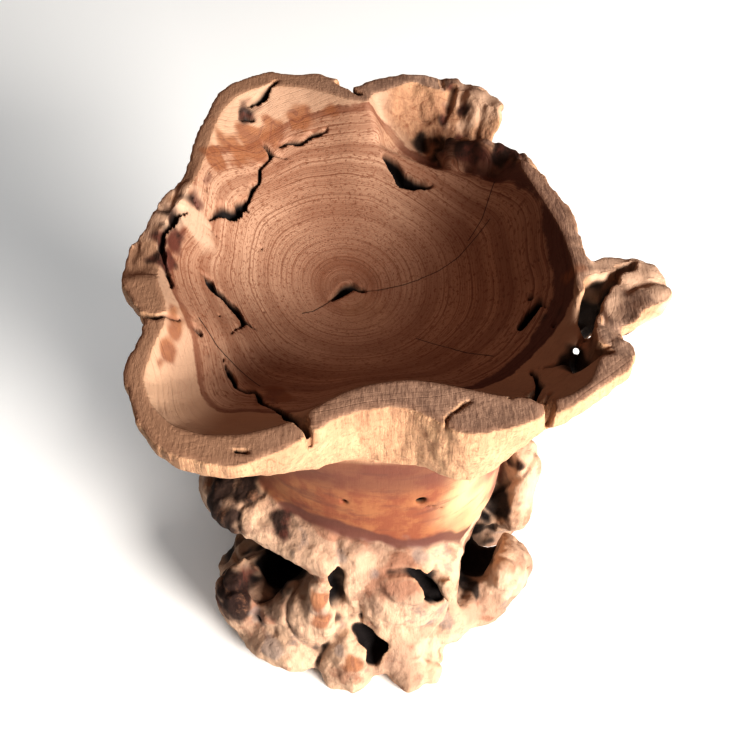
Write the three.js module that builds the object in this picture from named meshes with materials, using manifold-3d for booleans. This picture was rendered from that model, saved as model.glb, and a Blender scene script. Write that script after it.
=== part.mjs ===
// A burl bowl on its own gnarled root foot, carved from one piece of wood. Millimetres, +Z up.
// The sawn top lies flat at HEIGHT and the sawn underside at z = 0, with the origin on the underside.
import * as THREE from "three";
import { mergeVertices } from "three/addons/utils/BufferGeometryUtils.js";
import Module from "manifold-3d";

const wasm = await Module();
wasm.setup();

// ---------------------------------------------------------------- driving dimensions

const HEIGHT = 300; // sawn top above the sawn underside
const LIP = 10; // depth of the near-vertical edge under the sawn top
const NECK_Z = 188; // where the bowl's outer wall meets the neck
const SHOULDER_Z = 112; // where the neck ends and the root foot flares out
const BOWL_DEPTH = 70;
const BOWL_CENTRE = new THREE.Vector2(-4, 2);
const BOWL_ROUND = 112; // radius that the bowl's contours take near its bottom
const BOWL_POWER = 2.3; // how square the bowl's section is
const WALL_POWER = 1.5; // how hollow the outer wall is between lip and neck
const STEP_OUT = [0.3, 0.68]; // shares of the wall's height where it steps out by the scallop
const SCALLOP_ANGLE = 280; // the scallop's direction from AXIS, in degrees
const SCALLOP_WIDTH = 30;
const AXIS = new THREE.Vector2(0, -10); // the trunk's rings are drawn round this point
const SEGMENTS = 112; // points round each ring of the trunk
const FOOT_STEP = 7.5; // height between the rings of the foot
const FOOT_TOP = 150; // above this no root lobe reaches
const MELT = 9; // how widely the lobes melt into each other
const BOWL_SEGMENTS = 64;
const HOLLOW_WAVES = 0.12; // how uneven the hollows' walls are
const LARGE_HOLLOW = 30; // hollows larger than this get a finer surface
const OVERSHOOT = 12; // how far a cutter runs past the face that it cuts

// Outer edge of the sawn top, anticlockwise from the right, without the ear.
const RIM = [
  // right side
  [115, -25], [116, -9], [116, 8], [112, 24], [104, 41], [93, 62], [83, 78], [77, 85],
  // back right lobe
  [79, 92], [83, 105], [85, 121], [82, 131], [76, 137], [68, 140], [59, 148], [48, 154],
  [36, 158], [23, 157], [10, 153], [-3, 147], [-11, 142], [-15, 138],
  // back left lobe
  [-20, 144], [-33, 154], [-41, 156], [-49, 153], [-56, 153], [-61, 158], [-70, 159],
  [-78, 155], [-88, 147], [-99, 136], [-104, 125], [-106, 111], [-109, 99], [-111, 88],
  [-112, 76], [-112, 64], [-114, 52], [-118, 42], [-122, 32], [-127, 21], [-128, 8],
  // left lobe
  [-129, -1], [-134, -10], [-136, -25], [-134, -42], [-129, -51], [-124, -58], [-119, -66],
  [-117, -71],
  // front left lobe
  [-120, -79], [-124, -90], [-125, -101], [-122, -109], [-117, -121], [-112, -135],
  [-106, -144], [-97, -150], [-87, -155], [-74, -157], [-60, -157], [-50, -154],
  [-40, -150], [-33, -146], [-28, -141],
  // front scallop
  [-26, -138], [-19, -133], [-12, -128], [-4, -124], [6, -123], [14, -125], [24, -130],
  // front tongue
  [31, -136], [40, -140], [52, -140], [62, -137], [72, -133], [80, -130],
  // right lobe
  [86, -129], [96, -123], [104, -119], [112, -113], [121, -106], [130, -99], [133, -93],
  [133, -85], [131, -78], [128, -71], [123, -58], [117, -42],
];

// Inner edge of the sawn top, where the bowl begins.
const BOWL_EDGE = [
  [108, -21], [106, -3], [102, 14], [96, 32], [90, 50], [83, 70], [73, 90], [58, 106],
  [42, 116], [24, 121], [8, 123], [-6, 124], [-19, 128], [-30, 134], [-49, 141], [-65, 142],
  [-77, 140], [-88, 132], [-96, 118], [-100, 102], [-102, 83], [-104, 59], [-107, 46],
  [-113, 31], [-119, 12], [-123, -7], [-122, -21], [-118, -35], [-112, -50], [-108, -64],
  [-111, -82], [-115, -100], [-112, -117], [-104, -130], [-94, -138], [-82, -142],
  [-63, -142], [-50, -138], [-38, -132], [-28, -124], [-19, -118], [-10, -113], [0, -110],
  [12, -108], [24, -108], [35, -111], [47, -114], [58, -117], [74, -120], [86, -121],
  [98, -116], [108, -107], [113, -93], [113, -80], [110, -64], [108, -48], [108, -35],
];

const NECK = [
  [88, -15], [82, 24], [57, 55], [16, 70], [-30, 66], [-64, 42], [-82, 5], [-85, -32],
  [-68, -66], [-36, -86], [5, -93], [45, -85], [76, -55],
];

// The solid heart of the foot, between the root lobes.
const FOOT = [
  [70, -20], [66, 14], [42, 40], [4, 50], [-34, 44], [-62, 16], [-70, -20], [-62, -58],
  [-36, -84], [2, -94], [38, -86], [62, -60],
];

// Outline of the ear at the right, and the point that its underside narrows towards.
const EAR = [
  [104, -16], [114, -20], [121, -20], [128, -16], [139, -14], [150, -17], [158, -19],
  [162, -29], [162, -40], [157, -49], [147, -56], [141, -59], [136, -65], [131, -71],
  [118, -72], [104, -62],
];
const EAR_ROOT = [84, -40];

// Root lobes: centre, radii and turn about Z in degrees. They melt into the heart of the foot.
const LOBES = [
  // left shoulder, and the ridge from it round to the front
  { at: [-78, -54, 120], size: [36, 36, 22], turn: 15 },
  { at: [-98, -34, 98], size: [22, 30, 28], turn: 0 },
  { at: [-46, -82, 113], size: [38, 22, 18], turn: -22 },
  { at: [4, -84, 96], size: [42, 24, 20], turn: 0 },
  // lower left lobe and its foot
  { at: [-93, -90, 44], size: [18, 21, 31], turn: 30 },
  { at: [-66, -108, 16], size: [32, 22, 22], turn: -30 },
  { at: [-86, -58, 22], size: [28, 34, 26], turn: 20 },
  // front pillar, the ridge beside it and the bulge below them
  { at: [-32, -98, 86], size: [9, 14, 34], turn: 0 },
  { at: [-14, -98, 86], size: [8, 14, 36], turn: 0 },
  { at: [-43, -98, 46], size: [25, 25, 31], turn: 15 },
  // front bulge
  { at: [16, -92, 72], size: [36, 32, 36], turn: 0 },
  { at: [44, -82, 66], size: [22, 24, 34], turn: 0 },
  { at: [44, -92, 34], size: [28, 28, 32], turn: -20 },
  { at: [12, -112, 26], size: [28, 22, 26], turn: 0 },
  // front knob and toes
  { at: [-17, -127, 14], size: [20, 20, 32], turn: 0 },
  { at: [22, -132, 6], size: [9, 10, 11], turn: 0 },
  { at: [40, -126, 6], size: [8, 10, 10], turn: 0 },
  // right lobe, which stands up like an ear from its foot
  { at: [96, -72, 50], size: [14, 20, 28], turn: -25 },
  { at: [84, -80, 26], size: [15, 18, 22], turn: -20 },
  { at: [66, -78, 14], size: [24, 18, 18], turn: -15 },
  // knobs at the right
  { at: [103, -12, 92], size: [15, 19, 28], turn: 0 },
  { at: [97, -30, 62], size: [14, 16, 20], turn: 0 },
  { at: [84, -8, 28], size: [26, 32, 32], turn: 0 },
  // back of the foot
  { at: [74, 30, 60], size: [28, 28, 48], turn: 30 },
  { at: [84, 28, 12], size: [30, 22, 22], turn: 10 },
  { at: [34, 50, 98], size: [36, 18, 20], turn: 15 },
  { at: [38, 62, 40], size: [20, 22, 42], turn: 0 },
  { at: [6, 66, 16], size: [30, 24, 26], turn: -10 },
  { at: [-22, 52, 82], size: [26, 24, 42], turn: 0 },
  { at: [-60, 42, 98], size: [26, 24, 20], turn: -30 },
  { at: [-46, 60, 32], size: [34, 22, 36], turn: -30 },
  { at: [-88, 20, 44], size: [24, 32, 46], turn: 15 },
  { at: [-82, 42, 10], size: [24, 20, 18], turn: 20 },
];

// Hollows between the roots: centre, radii and turn about Z in degrees.
const HOLLOWS = [
  { at: [-68, -86, 90], size: [28, 44, 17], turn: 28 },
  { at: [-71, -104, 70], size: [15, 30, 24], turn: 28 },
  { at: [-23, -118, 92], size: [4, 18, 22], turn: 0 },
  { at: [28, -122, 104], size: [20, 16, 6], turn: 0 },
  { at: [-4, -130, 52], size: [9, 18, 8], turn: 20 },
  { at: [71, -78, 76], size: [12, 44, 34], turn: -20 },
  { at: [89, -30, 96], size: [8, 22, 34], turn: 0 },
  { at: [-110, -78, 88], size: [30, 24, 13], turn: 0 },
  { at: [14, 84, 66], size: [10, 24, 28], turn: 0 },
  { at: [-82, 48, 62], size: [14, 22, 26], turn: 40 },
  { at: [104, 14, 48], size: [24, 8, 14], turn: 15 },
];

// Knobs of the crest between the bowl and the pocket behind it.
const CREST = [
  { at: [57, 98, 272], size: [16, 10, 16], turn: -30 },
  { at: [74, 86, 275], size: [16, 11, 17], turn: -40 },
  { at: [88, 70, 278], size: [15, 9, 17], turn: -55 },
];

// Crevices that run down through the sawn top: outline, and the height of the floor.
const CREVICES = [
  // the ear's mouth, and its branch towards the tip
  {
    floor: 260,
    path: [[108, -64], [112, -36], [119, -33], [127, -33], [129, -38], [124, -50], [114, -64]],
  },
  { floor: 286, path: [[117, -36], [139, -20], [142, -24], [127, -40]] },
  // the star-shaped gap in the right lobe, and the small hole through it
  {
    floor: 284,
    path: [
      [98, -86], [108, -79], [110, -61], [115, -66], [111, -83], [121, -87], [104, -93], [84, -91],
    ],
  },
  { floor: 250, path: [[102, -90], [107, -90], [108, -77], [103, -75]] },
  // between the front tongue and the right lobe
  {
    floor: 262,
    path: [
      [79, -98], [83, -98], [86, -112], [91, -115], [84, -121], [86, -136], [80, -136],
      [80, -122], [70, -117], [79, -112],
    ],
  },
  // between the front left lobe and the scallop
  {
    floor: 280,
    path: [
      [-58, -117], [-44, -123], [-38, -130], [-33, -140], [-31, -140], [-35, -129], [-42, -119],
      [-56, -112],
    ],
  },
  // at the back, between the two back lobes
  { floor: 274, path: [[-24, 139], [-8, 139], [-10, 160], [-20, 160]] },
];

// The pocket between the bowl's low crest and the back right lobe: outline at each height.
const POCKET = [
  {
    z: 262,
    ring: [
      [12, 112], [26, 106], [40, 99], [55, 92], [68, 86], [70, 91], [58, 97], [43, 104],
      [28, 110], [14, 115],
    ],
  },
  {
    z: 270,
    ring: [
      [4, 115], [19, 106], [38, 94], [56, 86], [73, 78], [76, 86], [62, 104], [44, 114],
      [27, 120], [10, 121],
    ],
  },
  {
    z: HEIGHT + OVERSHOOT,
    ring: [
      [-10, 92], [14, 70], [36, 50], [60, 44], [92, 34], [92, 94], [78, 132], [58, 150],
      [26, 156], [-8, 140],
    ],
  },
];

// ---------------------------------------------------------------- helpers

const TURN = Math.PI * 2;
const UP = new THREE.Vector3(0, 0, 1);
const FOOT_LIMIT = 165; // no root reaches further from AXIS than this
const MARCH = 2;

// A smooth closed outline as a function that gives the radius at an angle, seen from centre.
function radiusOf(points, centre = new THREE.Vector2()) {
  const polar = points.map(([x, y]) => {
    const p = new THREE.Vector2(x, y).sub(centre);
    return { angle: p.angle(), radius: p.length() };
  });
  polar.sort((a, b) => a.angle - b.angle);
  const n = polar.length;
  const at = (i) => {
    const wraps = Math.floor(i / n);
    const p = polar[i - wraps * n];
    return { angle: p.angle + wraps * TURN, radius: p.radius };
  };
  return (angle) => {
    const a = THREE.MathUtils.euclideanModulo(angle, TURN);
    let i = -1;
    while (i + 1 < n && at(i + 1).angle <= a) i++;
    const [before, from, to, after] = [at(i - 1), at(i), at(i + 1), at(i + 2)];
    const span = to.angle - from.angle;
    const t = (a - from.angle) / span;
    const slopeFrom = ((to.radius - before.radius) / (to.angle - before.angle)) * span;
    const slopeTo = ((after.radius - from.radius) / (after.angle - from.angle)) * span;
    const h = t * t * (3 - 2 * t);
    return (
      from.radius * (1 - h) + to.radius * h +
      slopeFrom * t * (1 - t) ** 2 - slopeTo * t * t * (1 - t)
    );
  };
}

// A closed surface through rings of equal length, from the lowest ring to the highest.
function loft(rings) {
  const n = rings[0].length;
  const points = rings.flat();
  const index = [];
  for (let k = 0; k + 1 < rings.length; k++) {
    for (let i = 0; i < n; i++) {
      const j = (i + 1) % n;
      const [a, b, c, d] = [k * n + i, k * n + j, (k + 1) * n + i, (k + 1) * n + j];
      index.push(a, b, d, a, d, c);
    }
  }
  const cap = (ring, first, up) => {
    const flat = ring.map((p) => new THREE.Vector2(p.x, p.y));
    for (const [a, b, c] of THREE.ShapeUtils.triangulateShape(flat, [])) {
      index.push(first + a, first + (up ? b : c), first + (up ? c : b));
    }
  };
  cap(rings[0], 0, false);
  cap(rings.at(-1), (rings.length - 1) * n, true);
  return new THREE.BufferGeometry().setFromPoints(points).setIndex(index);
}

function ringAt(z, radius, count, centre = new THREE.Vector2()) {
  return Array.from({ length: count }, (_, i) => {
    const a = (i / count) * TURN;
    const r = radius(a);
    return new THREE.Vector3(centre.x + r * Math.cos(a), centre.y + r * Math.sin(a), z);
  });
}

// The outline as a ring that runs anticlockwise, whichever way it was drawn.
function ringOf(points, z) {
  const ring = points.map(([x, y]) => new THREE.Vector3(x, y, z));
  return THREE.ShapeUtils.isClockWise(ring) ? ring.reverse() : ring;
}

// The geometry as a solid that can be joined and cut.
function solid(geometry) {
  const bare = geometry.clone();
  bare.deleteAttribute("normal");
  bare.deleteAttribute("uv");
  const merged = mergeVertices(bare, 1e-4);
  return new wasm.Manifold(
    new wasm.Mesh({
      numProp: 3,
      vertProperties: merged.attributes.position.array,
      triVerts: new Uint32Array(merged.index.array),
    }),
  );
}

function geometryOf(manifold) {
  const mesh = manifold.getMesh();
  return new THREE.BufferGeometry()
    .setAttribute("position", new THREE.BufferAttribute(mesh.vertProperties, 3))
    .setIndex(new THREE.BufferAttribute(mesh.triVerts, 1));
}

// An irregular ball: a sphere whose surface swells and shrinks in a few slow waves.
function lump({ at, size, turn }, detail) {
  const ball = new THREE.IcosahedronGeometry(1, detail);
  const p = new THREE.Vector3();
  const phase = at[0] * 0.37 + at[1] * 0.21 + at[2] * 0.13;
  const positions = ball.attributes.position;
  for (let i = 0; i < positions.count; i++) {
    p.fromBufferAttribute(positions, i);
    const swell =
      Math.sin(3.1 * p.x + phase) * Math.sin(2.7 * p.y - phase) +
      0.6 * Math.sin(4.3 * p.z + 2 * phase) * Math.cos(3.7 * p.x - phase);
    p.multiplyScalar(1 + HOLLOW_WAVES * swell);
    positions.setXYZ(i, p.x, p.y, p.z);
  }
  return ball
    .scale(...size)
    .rotateZ(THREE.MathUtils.degToRad(turn))
    .translate(...at);
}

// ---------------------------------------------------------------- root lobes

// Distance from a point to a lobe's surface, near enough close to it, and negative inside.
function toLobe({ at, size, turn }, point) {
  const local = point.clone().sub(new THREE.Vector3(...at));
  local.applyAxisAngle(UP, -THREE.MathUtils.degToRad(turn));
  const scaled = local.clone().divide(new THREE.Vector3(...size));
  const steep = scaled.clone().divide(new THREE.Vector3(...size)).length();
  const inside = scaled.length();
  return steep > 0 ? (inside * (inside - 1)) / steep : -Math.min(...size);
}

// The smaller of two distances, with a rounded change from one to the other.
function melt(a, b) {
  const share = THREE.MathUtils.clamp(0.5 + (b - a) / (2 * MELT), 0, 1);
  return THREE.MathUtils.lerp(b, a, share) - MELT * share * (1 - share);
}

// How far the foot reaches from AXIS at an angle and a height, round a core of its own.
function footReach(angle, z, core) {
  const point = new THREE.Vector3();
  const field = (r) => {
    point.set(AXIS.x + r * Math.cos(angle), AXIS.y + r * Math.sin(angle), z);
    return LOBES.reduce((d, lobe) => melt(d, toLobe(lobe, point)), r - core);
  };
  let r = FOOT_LIMIT;
  while (field(r) > 0) r -= MARCH;
  const [inner, outer] = [field(r), field(r + MARCH)];
  return r + (MARCH * inner) / (inner - outer);
}

// ---------------------------------------------------------------- the pieces of the solid

// How far the outer wall has come from neck to lip, at a share t of its height. It is
// hollow all round, but under the front scallop it steps out early and then stands upright.
function wallShare(angle, t) {
  const degrees = THREE.MathUtils.radToDeg(angle);
  const scallop = Math.exp(-(((degrees - SCALLOP_ANGLE) / SCALLOP_WIDTH) ** 2));
  return THREE.MathUtils.lerp(t ** WALL_POWER, THREE.MathUtils.smoothstep(t, ...STEP_OUT), scallop);
}

// The trunk: the foot with its root lobes, the neck, the bowl's outer wall and its lip.
function trunk() {
  const rim = radiusOf(RIM, AXIS);
  const neck = radiusOf(NECK, AXIS);
  const foot = radiusOf(FOOT, AXIS);
  const rings = [];
  for (let z = 0; z < FOOT_TOP; z += FOOT_STEP) {
    const share = THREE.MathUtils.smoothstep(z, SHOULDER_Z / 2, SHOULDER_Z);
    const core = (a) => THREE.MathUtils.lerp(foot(a), neck(a), share);
    rings.push([z, (a) => footReach(a, z, core(a))]);
  }
  const lipZ = HEIGHT - LIP;
  rings.push([FOOT_TOP + FOOT_STEP, neck]);
  for (const t of [0, 0.2, 0.34, 0.48, 0.62, 0.8, 1]) {
    const wall = (a) => THREE.MathUtils.lerp(neck(a), rim(a), wallShare(a, t));
    rings.push([THREE.MathUtils.lerp(NECK_Z, lipZ, t), wall]);
  }
  rings.push([HEIGHT, rim]);
  return solid(loft(rings.map(([z, radius]) => ringAt(z, radius, SEGMENTS, AXIS))));
}

// The hollow of the bowl, from its bottom up through the sawn top.
function bowl() {
  const edge = radiusOf(BOWL_EDGE, BOWL_CENTRE);
  const contour = (rho) => (a) => {
    const lobed = THREE.MathUtils.smoothstep(rho, 0.35, 1);
    return rho * THREE.MathUtils.lerp(BOWL_ROUND, edge(a), lobed);
  };
  const rings = [0.12, 0.3, 0.45, 0.58, 0.7, 0.8, 0.88, 0.95, 1].map((rho) => {
    const z = HEIGHT - BOWL_DEPTH * (1 - rho ** BOWL_POWER);
    return ringAt(z, contour(rho), BOWL_SEGMENTS, BOWL_CENTRE);
  });
  rings.push(ringAt(HEIGHT + OVERSHOOT, contour(1), BOWL_SEGMENTS, BOWL_CENTRE));
  return solid(loft(rings));
}

// The ear: thick at the lip, and narrowing to the bowl's wall below.
function ear() {
  const shrink = (share) =>
    EAR.map(([x, y]) => [
      THREE.MathUtils.lerp(x, EAR_ROOT[0], share),
      THREE.MathUtils.lerp(y, EAR_ROOT[1], share),
    ]);
  const rings = [[0.85, 222], [0.55, 246], [0.25, 268], [0.03, HEIGHT - LIP], [0, HEIGHT]];
  return solid(loft(rings.map(([share, z]) => ringOf(shrink(share), z))));
}

function crevice({ floor, path }) {
  const shape = new THREE.Shape(path.map(([x, y]) => new THREE.Vector2(x, y)));
  const depth = HEIGHT + OVERSHOOT - floor;
  const slab = new THREE.ExtrudeGeometry(shape, { depth, bevelEnabled: false });
  return solid(slab.translate(0, 0, floor));
}

function burlBowl() {
  let body = trunk().add(ear()).subtract(bowl());
  body = body.subtract(solid(loft(POCKET.map(({ z, ring }) => ringOf(ring, z)))));
  for (const knob of CREST) body = body.add(solid(lump(knob, 2)));
  for (const hollow of HOLLOWS) {
    const large = Math.max(...hollow.size) > LARGE_HOLLOW;
    body = body.subtract(solid(lump(hollow, large ? 2 : 1)));
  }
  for (const gap of CREVICES) body = body.subtract(crevice(gap));
  return body;
}

const wood = new THREE.MeshStandardMaterial({
  name: "burl_wood",
  color: new THREE.Color(0.62, 0.4, 0.24),
  roughness: 0.62,
  metalness: 0,
});

const burl = new THREE.Mesh(geometryOf(burlBowl()), wood);
burl.name = "burl_bowl";

const group = new THREE.Group();
group.add(burl);

export default group;
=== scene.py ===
"""Looks for a burl bowl: one piece of wood, with a bowl on a neck and a gnarled root foot.

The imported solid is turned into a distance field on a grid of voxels. There its facets are
melted away, and bark, folds, cracks and borer holes are carved. The field is then meshed, and
each vertex is told what kind of wood it shows, which one material reads.
Lengths here are millimetres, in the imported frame. The finished mesh is in metres.
"""
import math

import bpy
import numpy as np
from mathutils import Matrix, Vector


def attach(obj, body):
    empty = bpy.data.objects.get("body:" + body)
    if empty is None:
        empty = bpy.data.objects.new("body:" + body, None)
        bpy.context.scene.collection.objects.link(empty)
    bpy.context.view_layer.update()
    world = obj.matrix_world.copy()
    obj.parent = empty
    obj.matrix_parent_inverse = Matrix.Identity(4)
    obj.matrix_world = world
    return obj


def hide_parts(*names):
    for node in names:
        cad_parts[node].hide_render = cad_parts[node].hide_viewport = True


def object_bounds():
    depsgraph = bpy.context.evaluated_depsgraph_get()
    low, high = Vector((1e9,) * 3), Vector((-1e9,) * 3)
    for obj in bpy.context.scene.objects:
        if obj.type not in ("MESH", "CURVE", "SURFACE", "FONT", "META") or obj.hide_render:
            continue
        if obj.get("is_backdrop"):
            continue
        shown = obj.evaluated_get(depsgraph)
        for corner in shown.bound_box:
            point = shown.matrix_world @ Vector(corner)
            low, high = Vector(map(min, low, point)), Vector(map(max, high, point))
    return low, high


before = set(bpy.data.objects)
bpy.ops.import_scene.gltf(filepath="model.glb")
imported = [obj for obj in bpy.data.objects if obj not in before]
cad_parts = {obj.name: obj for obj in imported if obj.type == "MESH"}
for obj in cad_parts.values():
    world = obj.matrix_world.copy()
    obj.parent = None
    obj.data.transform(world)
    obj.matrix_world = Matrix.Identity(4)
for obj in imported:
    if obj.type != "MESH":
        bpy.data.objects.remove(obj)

import openvdb as vdb
from mathutils import Vector

NODE = "burl_bowl"
MM = 0.001

low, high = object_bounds()
CAD_BOX = [list(low), list(high)]
LOW, HIGH = np.array(low) / MM, np.array(high) / MM
TOP = HIGH[2]  # height of the sawn top

VOXEL = 1.25
MARGIN = 14.0  # room round the solid
BAND = 14.0  # how far from the surface distances are kept
CAP_STRETCH = 20.0  # how far the flat ends are carried on before the field is made
START = np.floor((LOW - MARGIN) / VOXEL).astype(int)
SHAPE = tuple(np.ceil((HIGH - LOW + 2 * MARGIN) / VOXEL).astype(int))
X, Y, Z = (VOXEL * (START[k] + np.arange(SHAPE[k], dtype=np.float32)) for k in range(3))
XX, YY = np.meshgrid(X, Y, indexing="ij")

PITH = np.array([-18.0, 23.0])  # where the burl's rings are centred, seen from above
AXIS = np.array([0.0, -10.0])  # middle of the neck
NECK_LOW = 70.0  # below this the foot is rough all round
NECK_SMOOTH = (145.0, 190.0)  # between these heights the solid shows nothing but the smooth neck
WALL_LOW = 196.0  # above this the outer wall is rough
NECK_HIGH = 212.0  # above this the neck has become the bowl's outer wall
BOWL_LOW = 226.0  # the bowl's bottom lies above this

# Edge of the dark heartwood, seen from above.
HEART = [
  (-110, 45), (-104, 80), (-94, 97), (-84, 107), (-70, 120), (-58, 127), (-36, 127), (-19, 126),
  (-6, 124), (7, 125), (20, 119), (34, 110), (48, 100), (60, 90), (74, 76), (88, 60), (98, 42),
  (104, 20), (108, -5), (110, -30), (106, -50), (92, -62), (78, -72), (64, -82), (50, -94),
  (24, -100), (-6, -102), (-30, -112), (-48, -108), (-66, -108), (-78, -116), (-86, -108),
  (-92, -90), (-96, -74), (-102, -58), (-108, -40), (-114, -20), (-116, -4), (-112, 16),
]
HEART_RADIUS = 106.0  # rings are counted as if the heartwood were a disc of this radius

# Where the smooth neck ends and the foot begins: points round the neck, (x, y, height).
NECK_FOOT = [
  (-78, -58, 136), (-47, -85, 133), (-28, -92, 131), (16, -94, 117), (49, -83, 110), (73, -51, 80),
  (87, -19, 70), (78, 40, 90), (0, 86, 104), (-84, 30, 116),
]


# ---------------------------------------------------------------- numbers on grids and points

def smoothstep(low_edge, high_edge, value):
    t = np.clip((value - low_edge) / (high_edge - low_edge), 0, 1)
    return t * t * (3 - 2 * t)


def spline_weights(positions):
    """Cubic B-spline weights of the four lattice points round each position."""
    base = np.floor(positions).astype(int)
    f = (positions - base).astype(np.float32)
    weights = np.stack([
        (1 - f) ** 3 / 6,
        (3 * f ** 3 - 6 * f ** 2 + 4) / 6,
        (-3 * f ** 3 + 3 * f ** 2 + 3 * f + 1) / 6,
        f ** 3 / 6,
    ])
    return base, weights


NOISE_SCALE = 2.9  # brings the smoothed random values back to a spread of about 1


def grid_noise(spacing, seed):
    """Smooth noise on the whole grid, with a spread of about 1. spacing is one length or three."""
    spacing = np.broadcast_to(spacing, 3)
    random = np.random.default_rng(seed)
    counts = [int(SHAPE[k] * VOXEL / spacing[k]) + 5 for k in range(3)]
    values = random.standard_normal(counts, dtype=np.float32)
    for k in range(3):
        base, weights = spline_weights(np.arange(SHAPE[k]) * VOXEL / spacing[k])
        table = np.zeros((SHAPE[k], counts[k]), np.float32)
        for tap in range(4):
            table[np.arange(SHAPE[k]), base + tap] = weights[tap]
        values = np.moveaxis(np.tensordot(table, values, axes=(1, k)), 0, k)
    return values * NOISE_SCALE


def point_noise(points, spacing, seed):
    """The same kind of noise at single points."""
    spacing = np.broadcast_to(spacing, 3)
    random = np.random.default_rng(seed)
    first = points.min(axis=0)
    counts = [int(c) + 5 for c in (points.max(axis=0) - first) / spacing]
    lattice = random.standard_normal(counts, dtype=np.float32)
    taps = [spline_weights((points[:, k] - first[k]) / spacing[k]) for k in range(3)]
    total = np.zeros(len(points), np.float32)
    for i in range(4):
        for j in range(4):
            for k in range(4):
                value = lattice[taps[0][0] + i, taps[1][0] + j, taps[2][0] + k]
                total += value * taps[0][1][i] * taps[1][1][j] * taps[2][1][k]
    return total * NOISE_SCALE


def blur(field, width):
    """Gaussian blur of a field on the grid, with its standard deviation in millimetres."""
    sigma = width / VOXEL
    reach = int(math.ceil(2.6 * sigma))
    kernel = np.exp(-0.5 * (np.arange(-reach, reach + 1) / sigma) ** 2)
    kernel /= kernel.sum()
    for axis in range(field.ndim):
        pads = [(reach, reach) if k == axis else (0, 0) for k in range(field.ndim)]
        padded = np.pad(field, pads, mode="edge")
        length = field.shape[axis]
        total = np.zeros_like(field)
        for shift, weight in enumerate(kernel):
            part = [slice(None)] * field.ndim
            part[axis] = slice(shift, shift + length)
            total += np.float32(weight) * padded[tuple(part)]
        field = total
    return field


def sample(field, points):
    """The field's value at points, between voxels along straight lines."""
    place = points / VOXEL - START[: points.shape[1]]
    base = np.clip(np.floor(place).astype(int), 0, np.array(field.shape) - 2)
    f = np.clip(place - base, 0, 1)
    total = np.zeros(len(points))
    for corner in np.ndindex(*(2,) * field.ndim):
        share = np.ones(len(points))
        for k, step in enumerate(corner):
            share = share * (f[:, k] if step else 1 - f[:, k])
        total += share * field[tuple((base + corner).T)]
    return total


def around(centre, outline):
    """An outline of points as a function that gives its radius at an angle round centre."""
    offset = np.array(outline, float) - centre
    angle = np.arctan2(offset[:, 1], offset[:, 0])
    radius = np.hypot(offset[:, 0], offset[:, 1])
    order = np.argsort(angle)
    even = np.linspace(-math.pi, math.pi, 361)[:-1]
    steps = np.interp(even, angle[order], radius[order], period=2 * math.pi)
    for _ in range(6):  # rounds the corners off
        steps = (np.roll(steps, 1) + 2 * steps + np.roll(steps, -1)) / 4
    return lambda x, y: np.interp(
        np.arctan2(y - centre[1], x - centre[0]), even, steps, period=2 * math.pi
    )


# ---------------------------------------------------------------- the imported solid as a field

def cad_triangles():
    """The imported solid's points, each once, and its triangles."""
    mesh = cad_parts[NODE].data
    mesh.calc_loop_triangles()
    points = np.empty(len(mesh.vertices) * 3, np.float32)
    mesh.vertices.foreach_get("co", points)
    points = points.reshape(-1, 3) / MM
    triangles = np.empty(len(mesh.loop_triangles) * 3, np.int32)
    mesh.loop_triangles.foreach_get("vertices", triangles)
    _, first, same = np.unique(np.round(points, 3), axis=0, return_index=True, return_inverse=True)
    return points[first], same.reshape(-1)[triangles].reshape(-1, 3)


def stretch_cap(points, triangles, z, lift):
    """Carries the flat face at height z straight on by lift, so that its edge keeps its shape."""
    level = np.abs(points[:, 2] - z) < 0.02
    cap = level[triangles].all(axis=1)
    used = np.unique(triangles[cap])
    copy_of = np.zeros(len(points), int)
    copy_of[used] = len(points) + np.arange(len(used))
    edges = np.concatenate([triangles[cap][:, [k, (k + 1) % 3]] for k in range(3)])
    known = {(a, b) for a, b in edges}
    border = np.array([(a, b) for a, b in edges if (b, a) not in known])
    a, b = border[:, 0], border[:, 1]
    sides = np.concatenate([
        np.stack([a, b, copy_of[b]], axis=1),
        np.stack([a, copy_of[b], copy_of[a]], axis=1),
    ])
    moved = points[used] + np.array([0, 0, lift])
    points = np.concatenate([points, moved])
    triangles = np.concatenate([triangles[~cap], copy_of[triangles[cap]], sides])
    return points, triangles


def cad_field(points, triangles):
    """Distance to the solid's surface, negative inside."""
    grid = vdb.FloatGrid.createLevelSetFromPolygons(
        np.ascontiguousarray(points, np.float32),
        triangles=np.ascontiguousarray(triangles, np.uint32),
        transform=vdb.createLinearTransform(voxelSize=VOXEL),
        halfWidth=BAND / VOXEL,
    )
    field = np.empty(SHAPE, np.float32)
    grid.copyToArray(field, ijk=tuple(int(v) for v in START))
    return field


def top_heights(field):
    """Height of the highest wood over each point of the plan."""
    inside = field < 0
    last = SHAPE[2] - 1 - np.argmax(inside[:, :, ::-1], axis=2)
    last = np.where(inside.any(axis=2), last, 0)
    above = np.minimum(last + 1, SHAPE[2] - 1)
    here = np.take_along_axis(field, last[:, :, None], 2)[:, :, 0]
    there = np.take_along_axis(field, above[:, :, None], 2)[:, :, 0]
    part = np.clip(-here / np.maximum(there - here, 1e-3), 0, 1)
    return Z[last] + part * VOXEL


# ---------------------------------------------------------------- carving

SOFTEN = 2.2  # width of the blur that melts the solid's facets
ROLL_BLEND = 5.0  # how far off a roll of bark starts to melt into what it touches
CRACK_TAPER = 1.2  # how much narrower a crack is at its bottom, on each side

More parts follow.
